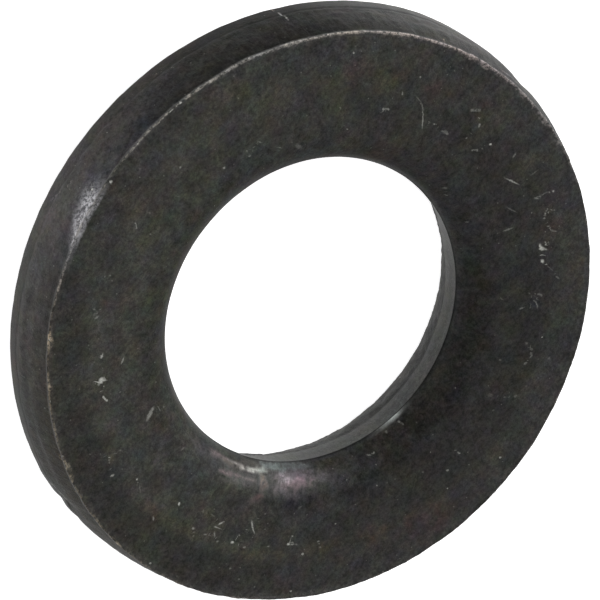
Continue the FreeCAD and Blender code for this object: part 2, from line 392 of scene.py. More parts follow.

# the mashed, polished patch on the rim just under the edge is worn metal painted bright as a highlight, with a lighter
# halo round it that is painted light
below = TOP - ZZ
rim_rows = mask("torn", "burr")
hi_ = np.interp(ANG, [155, 160, 163.5, 166.5, 172, 180], [0.08, 0.20, 0.46, 0.84, 0.98, 0.75])
lo_ = np.interp(ANG, [158, 163, 167, 172, 177], [-0.04, -0.05, -0.04, -0.01, 0.09])
worn_patch_highlight = rim_rows * smooth(157.0, 165.5, ANG) * (1 - smooth(171.0, 177.0, ANG)) * smooth(lo_ - 0.06, lo_ + 0.10, below)
worn_patch_highlight = worn_patch_highlight * (1 - smooth(hi_ - 0.50, hi_ + 0.10, below + 0.10 * fbm(q_fine * 1.6, 3, 85)))
worn_patch_highlight = 1.12 * worn_patch_highlight * (0.84 + 0.6 * fbm(q_fine * 1.3, 3, 83, 0.65)) * (1 - 0.30 * smooth(168.5, 173.5, ANG))
highlight_halo = rim_rows * np.exp(-(np.abs((ANG - 175 + 180) % 360 - 180) / 11.0) ** 2) * (1 - smooth(0.9, 1.7, below)) * smooth(0.0, 0.2, below)
worn_patch_highlight = np.clip(worn_patch_highlight, 0, 1)

# painted shade: a dark line between the lip and the bore's land, and down in the crease
crease_shade = np.zeros_like(RR)
crease_shade[lip_rows[-1]] = 0.85 * (1 - near(11.5, 11))
crease_shade[np.where(TAG == "boreland")[0][0]] = 1.0
crease_shade[np.where(TAG == "crease")[0]] = 0.12 + 0.50 * (step - 0.2)
crisp = crease_shade.copy()
crease_shade = np.where(mask("lip", "boreland") > 0, crisp, row_soft(crease_shade, 1))

# how bright the oxide is, round and across each surface: random mottling and stains, with painted light and shade laid
# in by angle
TOPSIDE = mask("face", "lip") * (ZZ > 2.0)
WALL = mask("torn", "rimland", "crease", "rimroll")
BORE = mask("boreland", "boretorn")
inner = 1 - smooth(10.9, 11.8, RR)
# painted light and shade: the face lighter towards one side and darker towards another, by angle, as the light falls on
# it
face_light_and_shade = (1 - 0.085 * inner + 0.22 * cosd(145) * inner) * (1 + 0.07 * (1 - inner) * cosd(180)) * (1 + 0.10 * bump1(RR, 10.75, 0.50))
face_light_and_shade = face_light_and_shade * (1 + 0.11 * np.exp(-(((ANG - 85 + 180) % 360 - 180) / 36.0) ** 2) * (1 - smooth(8.6, 10.4, RR)))
face_light_and_shade = face_light_and_shade * (1 - 0.24 * (1 - inner) * np.exp(-(((ANG - 96 + 180) % 360 - 180) / 46.0) ** 2))
# painted light and shade: the lip brighter and darker round the bore as the light falls on it
lip_light_and_shade = soften(arcwise((0, 0.62), (20, 0.64), (45, 0.94), (75, 1.00), (105, 1.14), (150, 1.06), (200, 1.32), (255, 1.12),
                       (300, 0.90), (345, 0.76)), 61)
lipness = TOPSIDE * (1 - smooth(7.9, 9.1, RR))
t_top = face_light_and_shade * (1 - lipness) + lip_light_and_shade[None, :] * lipness
# painted light and shade: the rim's wall lighter and darker round the washer as it catches the light; also darker
# towards the upper edge
wall_light_and_shade = soften(arcwise((0, 0.8), (60, 0.75), (95, 0.46), (112, 0.50), (135, 0.80), (150, 0.92), (165, 1.00), (180, 0.74), (200, 0.45),
                        (225, 0.37), (240, 0.62), (256, 0.92), (272, 1.00), (290, 0.84), (320, 0.78)), 41)[None, :]
wall_light_and_shade = wall_light_and_shade * (0.68 + 0.34 * smooth(0.2, 1.9, below) - 0.04 * LAND)
tone_and_shade = np.where(TOPSIDE > 0, t_top, 1.0)
tone_and_shade = np.where(WALL > 0, wall_light_and_shade, tone_and_shade)
t_bore = np.where(mask("boretorn") > 0, 0.31 + 0.26 * smooth(2.2, 3.8, TOP - ZZ), 0.86)
tone_and_shade = np.where(BORE > 0, t_bore, tone_and_shade)
# painted shade on the far side of the lip
far_lip_shade = lipness * (1 - smooth(7.15, 7.75, RR)) * np.clip(cosd(185) + 0.15, 0, 1)
tone_and_shade = tone_and_shade * (1 - 0.68 * far_lip_shade)
drift = fbm(q_wave * 1.4, 4, 111, 0.66)
drift2 = fbm(q_wave * 1.6, 4, 121, 0.66)
tone_and_shade = tone_and_shade * (1 + 0.06 * fbm(q_wave * 0.7, 3, 101) + 0.05 * fbm(q_fine * 0.7, 3, 103) + 0.12 * drift)
tone_and_shade = tone_and_shade * (1 + TOPSIDE * 0.07 * bump1(RR, 11.05, 0.17) * np.clip(0.5 + 0.7 * ring(0.18, 105), 0, 1.2)[None, :])
# painted shade on the face beside the lip, near 14 degrees
tone_and_shade = tone_and_shade * (1 - 0.24 * TOPSIDE * inner * np.exp(-(((ANG - 14 + 180) % 360 - 180) / 40.0) ** 2) * smooth(7.6, 9.0, RR))
tone_and_shade = tone_and_shade * np.where(mask("boretorn") > 0, 1 + 1.5 * fbm(q_pit * 0.8, 3, 107, 0.75), 1.0)
# painted light: the oxide round the rim patch is lighter
tone_and_shade = tone_and_shade * (1 + 0.75 * highlight_halo)
tone_and_shade = tone_and_shade * (1 + 0.45 * WALL * near(112, 26) * np.exp(-(below / 0.35) ** 2))
tone_and_shade = np.clip(tone_and_shade, 0.15, 2.0)

# how glossy it is, the same way: torn metal and the far side of the lip scatter more
gloss = np.ones_like(RR)
g_lip = soften(arcwise((0, 0.38), (30, 0.42), (48, 0.52), (60, 0.79), (82, 0.94), (110, 0.72), (140, 0.42), (180, 0.32), (225, 0.32),
                       (255, 0.42), (300, 0.55), (345, 0.40)), 61)[None, :]
gloss = np.where(TOPSIDE > 0, 0.82 * face_light_and_shade * (1 - lipness) + g_lip * lipness, gloss)
gloss = gloss * (1 - 0.97 * far_lip_shade)
g_wall = soften(arcwise((0, 0.5), (60, 0.42), (95, 0.18), (112, 0.22), (135, 0.40), (150, 0.55), (165, 0.72), (180, 0.38), (200, 0.19),
                        (225, 0.13), (240, 0.46), (256, 0.81), (270, 0.73), (285, 0.49), (320, 0.5)), 41)[None, :]
gloss = np.where(WALL > 0, g_wall * (0.72 + 0.38 * smooth(0.2, 1.9, below) - (0.42 + 0.50 * np.exp(-((ANG - 257) / 15.0) ** 2)) * LAND), gloss)
gloss = np.where(BORE > 0, np.where(mask("boretorn") > 0, 0.20 + 0.23 * smooth(2.2, 3.8, TOP - ZZ), 0.66), gloss)
gloss = gloss * (1 - 0.92 * np.where(mask("lip", "boreland") > 0, crease_shade, 0.0))
gloss = np.clip(gloss, 0.03, 2.0)

# colour drift of the oxide: an olive axis and a purplish-red axis, as multipliers
olive = 0.66 + 0.30 * cosd(135)
redd = -0.05 - 0.15 * cosd(150) * inner
warm = 0.9 * drift + 0.5 * fbm(q_fine * 0.9, 3, 113, 0.6)
rosy = 0.8 * drift2 + 0.6 * fbm(q_fine * 0.9, 3, 123, 0.6)
# stains: x, y, radius in mm, then how olive, how red and how pale
STAINS = [
    (-9.23, -6.41, 0.56, 0.1, 1.0, 0.06), (-9.16, -7.00, 0.38, -0.2, 0.7, 0.00),
    (-10.32, -4.79, 0.43, 0.1, 0.9, 0.04), (-9.76, -5.46, 0.33, 1.0, 0.1, 0.06),
    (-11.02, -2.45, 0.38, 0.5, 1.0, 0.10), (-10.54, -3.33, 0.38, 0.2, 0.8, 0.00),
    (-11.22, -0.53, 0.38, 0.1, 0.9, 0.10), (-11.74, -0.08, 0.38, 0.1, 0.6, 0.00),
    (-10.61, 2.26, 0.44, 0.1, 0.8, 0.06), (-9.15, -4.67, 0.76, 0.9, -0.2, 0.03),
    (-8.07, -6.28, 0.66, 0.8, -0.1, 0.02), (-10.12, -0.21, 0.77, 0.8, -0.1, 0.00),
    (-10.93, 0.02, 0.48, 0.7, 0.1, 0.04), (-10.33, 3.09, 0.49, 0.9, -0.1, 0.02),
    (-10.71, 5.08, 0.44, -0.2, 0.5, 0.04), (-9.31, 6.60, 0.39, 0.6, 0.7, 0.08), (-8.63, 6.99, 0.34, 0.4, 0.4, 0.06),
    (-9.07, 8.95, 0.25, 0.6, 1.2, 0.12), (-8.02, 9.50, 0.50, 0.1, 0.5, 0.06), (-5.10, 9.57, 0.60, 0.9, 0.0, 0.10),
    (-3.55, 10.39, 0.60, 0.9, 0.2, 0.10), (-2.99, 11.01, 0.45, 0.7, 0.4, 0.06), (-4.03, 12.03, 0.60, 0.5, 0.3, 0.04),
    (-2.58, 12.40, 0.60, 0.3, 0.4, 0.05), (9.72, 5.16, 0.59, 1.1, 0.3, 0.14), (10.15, 4.29, 0.39, 1.0, 0.2, 0.10),
    (9.32, 5.98, 0.44, 0.9, 0.6, 0.12), (7.73, 7.85, 0.59, 0.8, 0.5, 0.10), (6.45, 9.01, 0.60, 0.7, 0.6, 0.10),
    (5.57, 9.53, 0.45, 0.7, 0.8, 0.12), (4.58, 9.95, 0.45, 0.4, 0.8, 0.08), (4.63, 11.04, 0.70, -0.5, 1.5, 0.04),
    (3.46, 11.30, 0.60, -0.5, 1.2, 0.02), (9.57, 7.57, 0.89, -0.4, 0.2, 0.03), (10.92, 0.19, 0.53, 1.0, -0.2, 0.10),
    (10.55, 1.49, 0.44, 1.0, 0.0, 0.10), (9.84, 1.94, 0.44, 0.6, 0.1, 0.08), (10.48, -0.87, 0.43, 0.5, 0.0, 0.08),
    (5.11, -9.41, 0.23, 0.2, 1.1, 0.12), (5.88, -7.93, 0.28, 0.4, 0.9, 0.08), (8.76, -6.35, 0.42, 0.0, 0.8, 0.04),
    (8.67, -6.81, 0.28, 0.2, 0.5, 0.08), (8.03, -3.49, 0.39, 0.4, 0.7, 0.10), (7.80, -2.81, 0.30, 0.3, 0.6, 0.10),
    (7.42, -4.50, 0.34, 0.2, 0.6, 0.05), (8.24, -1.63, 0.35, 0.2, 0.7, 0.04), (10.31, -2.52, 0.24, 0.6, 0.2, 0.10),
    (10.38, -4.20, 0.24, 0.3, 0.5, 0.06), (11.20, -5.49, 0.28, 0.0, 0.9, 0.03), (-6.55, -9.42, 0.37, 0.3, 0.7, 0.08),
    (-5.75, -10.29, 0.42, 0.5, 0.2, 0.04), (-3.05, -9.35, 0.65, 0.9, -0.1, 0.04),
    (-0.81, -9.49, 0.75, 0.8, 0.0, 0.03), (2.49, -9.61, 0.56, 0.7, 0.3, 0.04), (0.81, -9.91, 0.56, 0.3, 0.6, 0.00),
    (4.56, -8.64, 0.47, 0.2, 0.4, 0.02), (-8.06, -0.49, 0.50, -0.2, 0.5, 0.02), (-8.07, -2.60, 0.50, 0.2, 0.6, 0.02),
    (-6.95, -2.42, 0.48, 0.2, 0.6, 0.04), (-8.77, -0.59, 0.34, 0.0, 0.7, 0.02), (-5.64, 4.90, 0.50, 0.6, -0.8, -0.06),
    (-3.63, 6.53, 0.48, 0.3, -0.9, -0.08), (-6.34, 10.10, 0.60, 0.5, -0.7, 0.04),
    (-4.89, 6.12, 0.62, 0.0, 0.1, -0.06), (6.84, 4.99, 0.67, -0.6, 0.2, 0.00), (6.40, 6.57, 0.79, -0.7, 0.1, 0.02),
    (8.15, 2.88, 0.48, 0.0, 0.3, 0.02), (1.29, 8.51, 0.78, -0.5, 0.2, 0.03),
]
arc_r = 11.02 + 0.10 * ring(0.25, 161)
band = TOPSIDE * np.exp(-((RR - arc_r[None, :]) / 0.24) ** 2) * soften(arcwise(
    (0, 0.5), (14, 0.9), (30, 0.9), (42, 0.6), (60, 0.5), (80, 0.9), (95, 1.0), (108, 0.5), (125, 0.1), (165, 0.15), (205, 0.5), (225, 0.8),
    (240, 0.4), (280, 0.1), (340, 0.1)), 31)[None, :]
band = band * np.clip(0.9 + 1.2 * fbm(q_fine * 1.1, 3, 163, 0.65), 0.1, 2)
warm = warm + 0.85 * band
rosy = rosy + 0.10 * band
tone_and_shade = tone_and_shade * (1 + 0.13 * band)
blot = 0.75 + 1.1 * fbm(q_fine * 1.4, 4, 131, 0.62)
for x, y, rad, o_, r_, pale_ in STAINS:
    d2 = (P2[..., 0] - x) ** 2 + (P2[..., 1] - y) ** 2
    wgt = np.exp(-d2 / (1.25 * rad) ** 2) * np.clip(blot, 0, 2) * TOPSIDE
    warm = warm + (0.95 * o_ + 0.45 * r_) * wgt
    rosy = rosy + (1.35 * r_ - 0.34 * o_) * wgt
    tone_and_shade = tone_and_shade * (1 + 1.9 * pale_ * wgt)
browned = WALL * np.exp(-(((ANG - 108 + 180) % 360 - 180) / 30.0) ** 2) * (1 - smooth(0.2, 1.9, below))
warm = warm + 1.55 * browned - 1.4 * highlight_halo - 0.45 * WALL * near(166, 22)
rosy = rosy + 0.15 * browned + 0.3 * highlight_halo + 0.25 * WALL * near(163, 20) + 0.9 * WALL * near(262, 5) * (1 - smooth(0.0, 0.6, below)) - 0.35 * BORE
redd = redd + 0.55 * WALL * np.clip(cosd(160), 0, 1) ** 2 + 0.5 * WALL * bump1(ANG, 262, 14)
warm = np.clip(warm, -1.6, 2.0)
rosy = np.clip(rosy, -1.6, 2.0)
hue = np.stack([np.exp(0.030 + 0.015 * olive + 0.110 * redd + 0.130 * warm + 0.100 * rosy),
                np.exp(-0.010 + 0.030 * olive - 0.055 * redd + 0.055 * warm - 0.108 * rosy),
                np.exp(-0.175 * olive + 0.010 * redd - 0.190 * warm + 0.012 * rosy)], -1)
# the bare metal along the edge is tinted differently from place to place
tint = [soften(arcwise(*[(d_, c_[k_]) for d_, c_ in (
    (0, (1.0, 0.94, 0.86)), (80, (1.0, 0.93, 0.80)), (100, (1.02, 0.90, 0.68)), (125, (1.04, 0.90, 0.66)), (146, (1.06, 0.88, 0.66)),
    (154, (1.04, 0.94, 0.84)), (160, (1.05, 1.03, 1.04)), (168, (0.98, 0.96, 0.97)), (178, (0.95, 0.93, 0.82)),
    (190, (1.04, 0.98, 0.86)), (212, (0.98, 0.97, 0.94)), (228, (1.02, 0.95, 0.86)), (243, (1.05, 0.94, 0.88)),
    (262, (1.08, 0.94, 0.92)), (275, (1.04, 0.97, 0.96)), (295, (1.0, 0.97, 0.95)))]), 15) for k_ in range(3)]
for row in burr_rows:
    hue[row] = np.stack(tint, -1) * (1 + 0.05 * np.stack([ring(1.3, 151), ring(1.3, 151) * 0.3, -ring(1.3, 151)], -1))
hue[lip_rows[-1]] = (0.96, 1.0, 0.97)
hue[lip_rows[-2]] = (0.96, 1.0, 0.97)

# interference film on the lip, heat tint colours with a painted highlight in the pale patches: (x, y, half length, half
# width, direction, colour, strength)
LIP_TINT_AND_HIGHLIGHT = [
    (6.12, 4.32, 1.12, 0.36, 123, (0.22, 0.17, 0.23), 0.62),
    (6.35, 4.60, 0.90, 0.30, 127, (0.25, 0.14, 0.17), 0.62),
    (6.51, 3.82, 0.56, 0.24, 111, (0.40, 0.34, 0.38), 0.62),
    (5.86, 4.13, 1.00, 0.18, 122, (0.25, 0.31, 0.31), 0.60),
    (6.46, 3.27, 0.72, 0.20, 116, (0.36, 0.43, 0.42), 0.85),
    (6.98, 2.54, 0.84, 0.11, 113, (0.62, 0.62, 0.57), 1.00),
    (7.25, 1.62, 0.62, 0.10, 102, (0.52, 0.49, 0.46), 0.90),
    (6.80, 2.92, 0.38, 0.13, 117, (0.52, 0.57, 0.53), 0.95),
    (7.41, 0.68, 0.50, 0.10, 92, (0.4, 0.3, 0.31), 0.70),
    (7.48, 0.19, 0.40, 0.15, 89, (0.34, 0.27, 0.28), 0.55),
    (7.78, 1.34, 0.74, 0.11, 105, (0.38, 0.25, 0.28), 0.65),
    (7.52, 2.29, 0.62, 0.09, 111, (0.38, 0.3, 0.29), 0.55),
    (8.00, 1.60, 0.84, 0.17, 108, (0.2, 0.15, 0.16), 0.45),
    (6.93, 2.21, 0.61, 0.11, 109, (0.17, 0.165, 0.14), 0.55),
    (7.06, 2.89, 0.19, 0.18, 65, (0.13, 0.1, 0.07), 0.80),
    (7.42, 3.08, 0.22, 0.15, 30, (0.16, 0.10, 0.075), 0.60), (7.74, 3.30, 0.20, 0.14, 80, (0.19, 0.105, 0.09), 0.62),
    (7.93, 3.07, 0.32, 0.19, 152, (0.20, 0.11, 0.105), 0.60),
    (7.15, 3.16, 0.28, 0.13, 49, (0.2, 0.13, 0.09), 0.60),
    (7.03, 4.21, 0.70, 0.21, 105, (0.2, 0.17, 0.2), 0.50),
    (5.40, 5.45, 0.60, 0.26, 134, (0.20, 0.17, 0.22), 0.32),
    (7.46, 1.07, 0.46, 0.09, 96, (0.15, 0.13, 0.09), 0.60),
    (7.65, -0.81, 0.72, 0.19, 83, (0.17, 0.15, 0.17), 0.35),
]
lip_tint_highlight = np.zeros(RR.shape + (4,))
lip_tint_highlight[..., :3] = (0.2, 0.18, 0.18)
fray = fbm(q_pit * 0.9, 4, 141, 0.65)
fray2 = fbm(q_tear * 1.2, 3, 143, 0.65)
for x, y, hl, hw, ang, col, s_ in LIP_TINT_AND_HIGHLIGHT:
    ca, sa = math.cos(math.radians(ang)), math.sin(math.radians(ang))
    ex, ey = P2[..., 0] - x, P2[..., 1] - y
    reach_ = np.hypot((ex * ca + ey * sa) / hl, (-ex * sa + ey * ca) / hw) + 0.36 * fray + 0.22 * fray2
    cov = s_ * (1 - smooth(0.35, 1.30, reach_)) * mask("lip", "face") * (ZZ > 2)
    lip_tint_highlight[..., :3] = lip_tint_highlight[..., :3] * (1 - cov[..., None]) + np.array(col) * cov[..., None]
    lip_tint_highlight[..., 3] = lip_tint_highlight[..., 3] + (1 - lip_tint_highlight[..., 3]) * cov
# the bore's edge again: a thin pale streak, a painted highlight
lip_highlight_streak = np.clip(1.15 * near(13.4, 6.6) * (0.9 + 0.25 * ring(1.2, 93, 2, 0.6, 7.0)), 0, 1)
for row, share in zip(lip_rows[-3:], (0.10, 0.80, 1.0)):
    cov = share * lip_highlight_streak
    lip_tint_highlight[row, :, :3] = lip_tint_highlight[row, :, :3] * (1 - cov[:, None]) + np.array((0.60, 0.65, 0.62)) * cov[:, None]
    lip_tint_highlight[row, :, 3] = lip_tint_highlight[row, :, 3] + (1 - lip_tint_highlight[row, :, 3]) * cov
lip_tint_highlight[..., 3] = np.clip(lip_tint_highlight[..., 3], 0, 1)

# Handling marks on the upper face: (x, y, half length, half width, direction in degrees, strength), mm.
MARKS = [
    (-9.68, -4.04, 0.092, 0.039, 44, 0.45), (-10.70, -3.82, 0.049, 0.041, 124, 0.50),
    (-8.64, -4.30, 0.076, 0.047, 54, 0.45), (-8.77, -4.10, 0.073, 0.051, 124, 0.45),
    (-8.48, -4.29, 0.066, 0.035, 106, 0.35), (-9.93, -3.18, 0.205, 0.030, 81, 0.26),
    (-9.77, -2.78, 0.240, 0.033, 56, 0.34), (-9.35, -2.34, 0.389, 0.040, 41, 0.48),
    (-9.53, -1.74, 0.049, 0.042, 124, 0.50), (-9.57, -1.03, 0.167, 0.095, 98, 0.26),
    (-9.52, -1.19, 0.059, 0.037, 124, 0.35), (-9.56, -0.89, 0.064, 0.042, 124, 0.38),
    (-9.95, 0.03, 0.050, 0.042, 124, 0.42), (-11.04, -0.63, 0.099, 0.069, 124, 0.34),
    (-11.23, -0.34, 0.089, 0.074, 124, 0.34), (-10.74, 0.14, 0.108, 0.051, 33, 0.42),
    (-10.41, 1.22, 0.065, 0.051, 124, 0.95), (-9.71, 0.67, 0.047, 0.040, 44, 0.35),
    (-9.85, 0.87, 0.061, 0.040, 44, 0.38), (-10.71, 2.58, 0.113, 0.053, 10, 0.36),
    (-7.71, 0.99, 0.103, 0.055, 133, 0.30), (-7.51, 1.33, 0.100, 0.042, 109, 0.28),
    (-9.77, 3.33, 0.382, 0.037, 102, 0.62), (-10.68, 3.99, 0.202, 0.037, 160, 0.22),
    (-10.59, 5.41, 0.056, 0.047, 123, 0.60), (-9.88, 4.92, 0.135, 0.046, 115, 0.36),
    (-10.21, 5.08, 0.237, 0.036, 154, 0.24), (-9.62, 5.80, 0.063, 0.046, 73, 0.50),
    (-9.82, 5.75, 0.051, 0.038, 123, 0.38), (-9.43, 5.92, 0.061, 0.038, 123, 0.42),
    (-9.98, 6.08, 0.051, 0.043, 123, 0.30), (-8.80, 4.25, 0.321, 0.035, 99, 0.25),
    (-7.17, 3.01, 0.084, 0.041, 135, 0.30), (-8.04, 4.78, 0.257, 0.041, 145, 0.34),
    (-9.27, 6.36, 0.076, 0.043, 123, 0.34), (-9.22, 6.62, 0.086, 0.035, 90, 0.34),
    (-9.30, 6.82, 0.081, 0.038, 123, 0.30), (-8.33, 6.80, 0.162, 0.088, 94, 0.90),
    (-8.39, 6.63, 0.076, 0.061, 45, 0.70), (-8.41, 7.00, 0.102, 0.048, 123, 0.55),
    (-7.92, 7.27, 0.105, 0.078, 73, 0.85), (-7.90, 7.85, 0.217, 0.026, 89, 0.22),
    (-8.73, 6.89, 0.057, 0.038, 178, 0.30), (-7.79, 8.45, 0.120, 0.035, 93, 0.30),
    (-6.69, 8.21, 0.071, 0.048, 123, 0.32), (-6.73, 8.37, 0.067, 0.057, 64, 0.34),
    (-6.47, 7.79, 0.061, 0.038, 123, 0.22), (-6.35, 8.30, 0.131, 0.035, 93, 0.34),
    (-6.25, 8.57, 0.086, 0.041, 45, 0.30), (-5.75, 7.98, 0.152, 0.041, 143, 0.30),
    (-4.68, 9.35, 0.087, 0.077, 123, 0.22), (-4.61, 9.77, 0.092, 0.072, 123, 0.24),
    (-4.36, 9.98, 0.124, 0.049, 178, 0.30), (-3.96, 9.98, 0.089, 0.060, 165, 0.36),
    (-4.80, 10.85, 0.087, 0.063, 123, 0.24), (-3.38, 8.80, 0.071, 0.053, 123, 0.22),
    (-1.90, 9.56, 0.133, 0.097, 122, 0.18), (-2.55, 10.67, 0.087, 0.068, 122, 0.24),
    (-2.21, 10.23, 0.067, 0.048, 122, 0.20), (-1.46, 10.19, 0.061, 0.048, 122, 0.20),
    (-3.20, 10.80, 0.051, 0.039, 122, 0.20), (-5.52, 6.84, 0.108, 0.039, 89, 0.20),
    (5.66, -9.60, 0.069, 0.043, 105, 0.36), (5.86, -9.25, 0.111, 0.045, 166, 0.38),
    (7.10, -7.82, 0.057, 0.051, 123, 0.80), (7.01, -7.85, 0.103, 0.033, 16, 0.55),
    (6.67, -6.85, 0.182, 0.031, 19, 0.50), (7.88, -7.09, 0.141, 0.117, 10, 1.00),
    (8.08, -7.07, 0.077, 0.056, 172, 0.50), (7.75, -6.89, 0.057, 0.042, 123, 0.42),
    (8.40, -6.47, 0.069, 0.045, 62, 0.80), (8.43, -6.26, 0.075, 0.048, 104, 0.85),
    (7.79, -4.00, 0.320, 0.094, 9, 0.52), (7.58, -4.06, 0.153, 0.069, 6, 0.45),
    (7.80, -5.95, 0.070, 0.045, 154, 0.26), (7.19, -3.59, 0.060, 0.039, 115, 0.26),
    (10.31, -4.33, 0.053, 0.042, 122, 0.60), (10.48, -4.17, 0.047, 0.034, 43, 0.34),
    (10.85, -3.64, 0.096, 0.051, 154, 0.66), (10.36, -2.51, 0.060, 0.041, 62, 0.75),
    (10.59, -2.10, 0.195, 0.028, 53, 0.24), (9.78, -4.11, 0.062, 0.042, 122, 0.26),
    (8.13, -1.52, 0.117, 0.042, 160, 0.24), (10.43, -4.79, 0.048, 0.037, 122, 0.20),
    (10.69, -5.20, 0.048, 0.037, 122, 0.20), (8.01, -8.56, 0.047, 0.037, 123, 0.20),
    (7.02, -8.71, 0.047, 0.037, 123, 0.22), (10.13, 0.04, 0.086, 0.049, 43, 0.98),
    (11.29, -0.58, 0.116, 0.043, 48, 0.42), (10.61, 1.41, 0.073, 0.062, 122, 0.52),
    (9.72, 2.39, 0.171, 0.041, 148, 0.60), (8.94, 3.74, 0.166, 0.046, 48, 0.62), (9.12, 3.98, 0.185, 0.037, 62, 0.60),
    (10.51, 2.10, 0.079, 0.038, 122, 0.36), (10.27, 2.48, 0.136, 0.039, 48, 0.45),
    (10.88, 1.67, 0.049, 0.043, 122, 0.30), (10.44, 2.83, 0.064, 0.043, 122, 0.36),
    (10.09, 3.49, 0.074, 0.062, 122, 0.95), (9.66, 3.56, 0.044, 0.038, 122, 0.40),
    (9.95, 4.16, 0.059, 0.048, 122, 0.45), (9.29, 5.14, 0.065, 0.043, 122, 0.34),
    (8.69, 5.92, 0.070, 0.058, 122, 0.80), (8.58, 6.11, 0.060, 0.044, 122, 0.52),
    (8.48, 6.26, 0.060, 0.034, 122, 0.32), (8.31, 5.83, 0.050, 0.043, 122, 0.42),
    (7.80, 7.10, 0.050, 0.044, 122, 0.38), (7.96, 7.38, 0.060, 0.044, 122, 0.28),
    (8.25, 3.96, 0.059, 0.043, 122, 0.26), (7.09, 5.24, 0.106, 0.038, 168, 0.22),
    (11.05, 4.27, 0.054, 0.048, 122, 0.30), (11.20, 5.01, 0.059, 0.043, 122, 0.30),
    (9.66, 1.77, 0.137, 0.031, 95, 0.22), (9.76, 1.27, 0.107, 0.036, 22, 0.22), (3.46, 6.72, 0.099, 0.031, 125, 0.40),
    (3.25, 6.85, 0.078, 0.025, 177, 0.42), (1.87, 10.24, 0.066, 0.049, 122, 0.50),
    (0.96, 10.18, 0.061, 0.044, 122, 0.38), (0.96, 9.91, 0.071, 0.034, 122, 0.26),
    (1.49, 7.25, 0.052, 0.031, 161, 0.40), (5.69, 5.34, 0.047, 0.031, 124, 0.20),
    (3.94, 8.10, 0.050, 0.039, 122, 0.20), (2.59, 9.27, 0.051, 0.039, 122, 0.20),
    (-1.31, -10.60, 0.047, 0.041, 124, 0.50), (-2.43, -8.83, 0.062, 0.046, 124, 0.55),
    (-3.51, -8.17, 0.057, 0.050, 124, 0.35), (-4.24, -8.21, 0.150, 0.030, 106, 0.30),
    (-4.58, -7.21, 0.156, 0.028, 113, 0.28), (-5.12, -6.43, 0.226, 0.111, 90, 0.26),
    (0.98, -12.85, 0.067, 0.070, 178, 0.85), (1.72, -10.64, 0.047, 0.041, 123, 0.50),
    (1.86, -10.45, 0.054, 0.034, 105, 0.42), (1.70, -9.71, 0.047, 0.041, 123, 0.30),
    (4.11, -10.02, 0.047, 0.041, 123, 0.35), (-0.29, -9.78, 0.047, 0.041, 123, 0.20),
    (-3.60, -8.45, 0.048, 0.032, 124, 0.30), (-3.92, -8.29, 0.054, 0.029, 144, 0.28),
    (-4.50, -10.40, 0.048, 0.036, 124, 0.20), (-7.51, -6.07, 0.065, 0.035, 72, 0.32),
    (-5.14, -6.39, 0.103, 0.110, 122, 0.20),
    (2.20, 6.92, 0.060, 0.042, 20, 0.30), (1.50, 7.12, 0.060, 0.044, 122, 0.36),
]

# bright flecks on the burr itself: angle, half length, half width, strength
for c, hl, hw, s_ in ((143.2, 0.07, 0.040, 0.75), (160.5, 0.10, 0.035, 0.55), (184.3, 0.06, 0.040, 0.85), (186.4, 0.04, 0.030, 0.55),
                      (188.6, 0.07, 0.028, 0.60), (190.9, 0.05, 0.030, 0.70), (193.0, 0.13, 0.034, 0.85), (195.3, 0.07, 0.036, 0.95),
                      (198.2, 0.05, 0.028, 0.50), (202.1, 0.05, 0.040, 1.00), (206.6, 0.06, 0.030, 0.50), (228.4, 0.05, 0.030, 0.50),
                      (233.0, 0.06, 0.036, 0.90), (235.2, 0.04, 0.028, 0.50), (242.4, 0.07, 0.034, 0.95), (247.0, 0.10, 0.026, 0.45),
                      (254.6, 0.06, 0.030, 0.60), (259.0, 0.05, 0.026, 0.45), (270.3, 0.05, 0.030, 0.40), (118.6, 0.05, 0.036, 0.50),
                      (130.6, 0.05, 0.034, 0.50), (151.0, 0.04, 0.032, 0.55)):
    at_ = math.radians(c)
    MARKS.append((13.035 * math.sin(at_), 13.035 * math.cos(at_), hl, hw, 180.0 - c, s_))


# Each vertex of the upper side carries the centre, the two scaled axes and the strength of the mark it lies in, so
# the material draws every mark sharply however coarse the mesh is.
mark_c = np.zeros(RR.shape + (3,))
mark_u = np.zeros(RR.shape + (3,))
mark_v = np.zeros(RR.shape + (3,))
best = np.full(RR.shape, 1e9)
on_top = np.isin(TAG, ("face", "lip", "burr"))[:, None] & np.ones(N_SEG, bool)[None, :]
for mx, my, hl, hw, ang, s_ in MARKS:
    ca, sa = math.cos(math.radians(ang)), math.sin(math.radians(ang))
    ex, ey = P2[..., 0] - mx, P2[..., 1] - my
    along, across = ex * ca + ey * sa, -ex * sa + ey * ca
    pad = np.hypot(along / (hl * 1.25 + 0.24), across / (hw * 1.25 + 0.24))
    take = on_top & (pad < np.minimum(best, 1e8))
    best = np.where(take, pad, best)
    mark_c[take] = (mx, my, 0.0)
    mark_u[take] = (ca / (hl * 1.25), sa / (hl * 1.25), 0.0)
    mark_v[take] = (-sa / (hw * 1.25), ca / (hw * 1.25), 0.0)
    mark_c[..., 2] = np.where(take, np.where(pad < 1.0, s_ ** 1.4, 0.0), mark_c[..., 2])

verts = (P2.reshape(-1, 3) / 1000.0)
ii, jj = np.meshgrid(np.arange(N_ROW), np.arange(N_SEG), indexing="ij")
i2, j2 = (ii + 1) % N_ROW, (jj + 1) % N_SEG
quads = np.stack([ii * N_SEG + jj, ii * N_SEG + j2, i2 * N_SEG + j2, i2 * N_SEG + jj], -1).reshape(-1, 4)
# orientation: faces of the upper side must look up
f0 = np.where(TAG == "face")[0][10] * N_SEG
v = verts[quads[f0]]
if np.cross(v[1] - v[0], v[2] - v[0])[2] < 0:
    quads = quads[:, ::-1]

